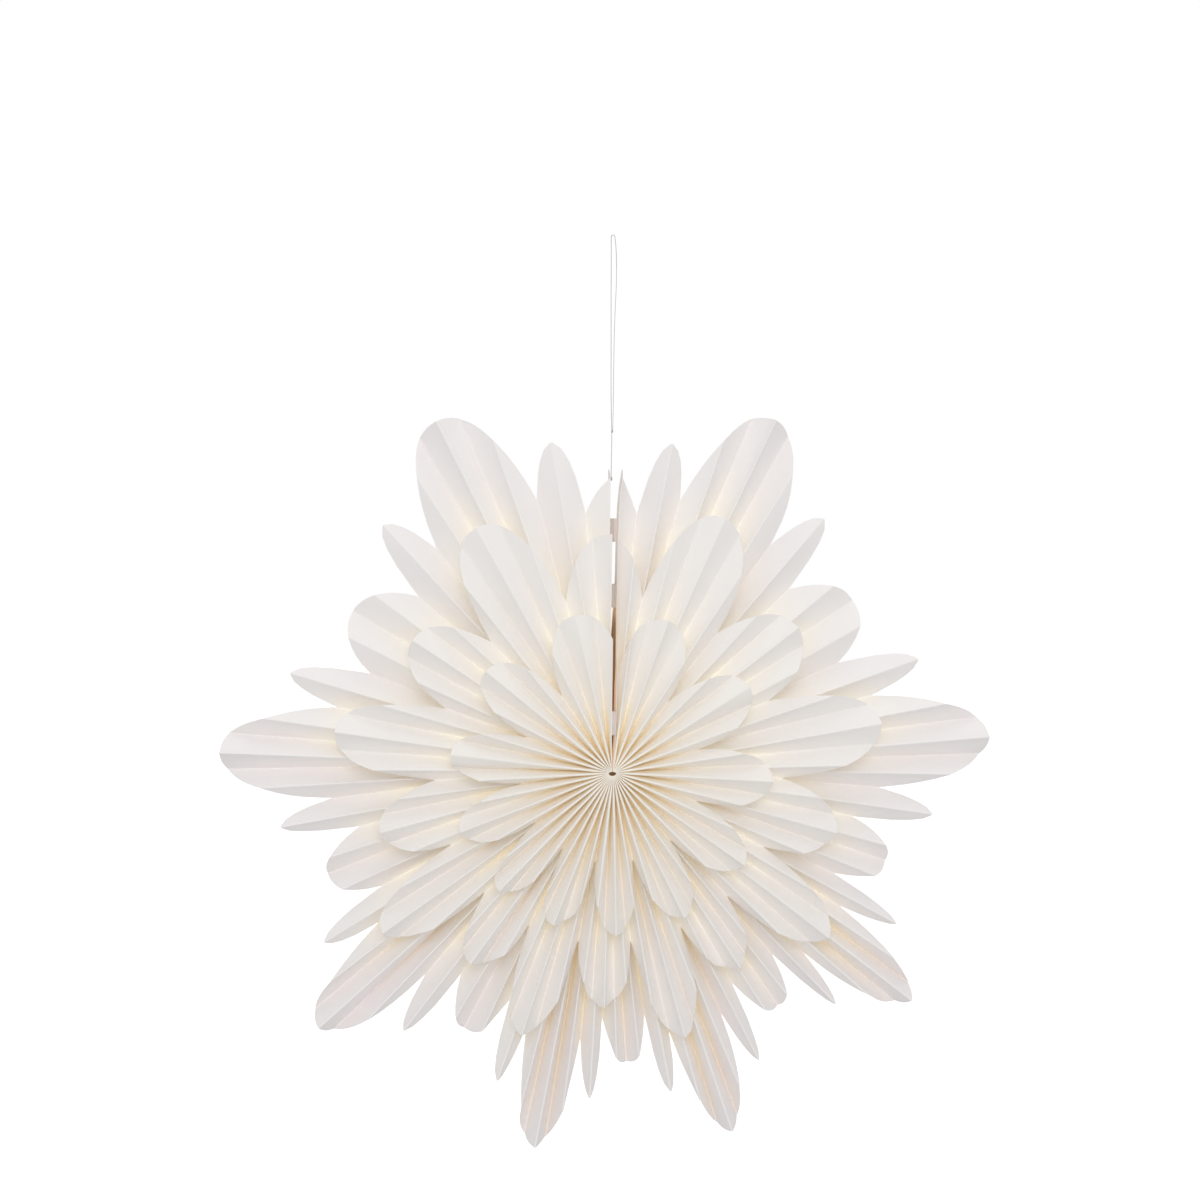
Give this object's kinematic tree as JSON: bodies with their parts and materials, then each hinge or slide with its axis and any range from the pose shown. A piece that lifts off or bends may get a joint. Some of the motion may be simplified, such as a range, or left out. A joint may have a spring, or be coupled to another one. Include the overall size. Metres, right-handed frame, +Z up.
{
  "type": "hanging paper flower",
  "caption": "Round hanging flower of pleated paper fans with petal-shaped cut edges, one behind the other, closed at a slot at the top and hung by a thread loop.",
  "frame": {"origin": "top of the hanging thread's loop, where it goes over a hook or a pin", "axes": "+Z up along the hanging thread; the flower faces -Y, with its three fans one behind the other along Y; +X to the right as seen from the front"},
  "size_m": [0.5948, 0.0673, 0.7037],
  "materials": {
    "paper": "matte",
    "hub_glue": "matte",
    "closing_pad": "matte",
    "thread": "matte"
  },
  "bodies": {
    "root": {"back_fan": "paper", "middle_fan": "paper", "front_fan": "paper", "back_hub_glue": "hub_glue", "middle_hub_glue": "hub_glue", "front_hub_glue": "hub_glue", "back_pad_left": "closing_pad", "back_pad_right": "closing_pad", "middle_pad_left": "closing_pad", "middle_pad_right": "closing_pad", "front_pad_left": "closing_pad", "front_pad_right": "closing_pad", "hanging_thread": "thread", "tie_knot": "thread", "loop_knot": "thread"}
  },
  "joints": []
}
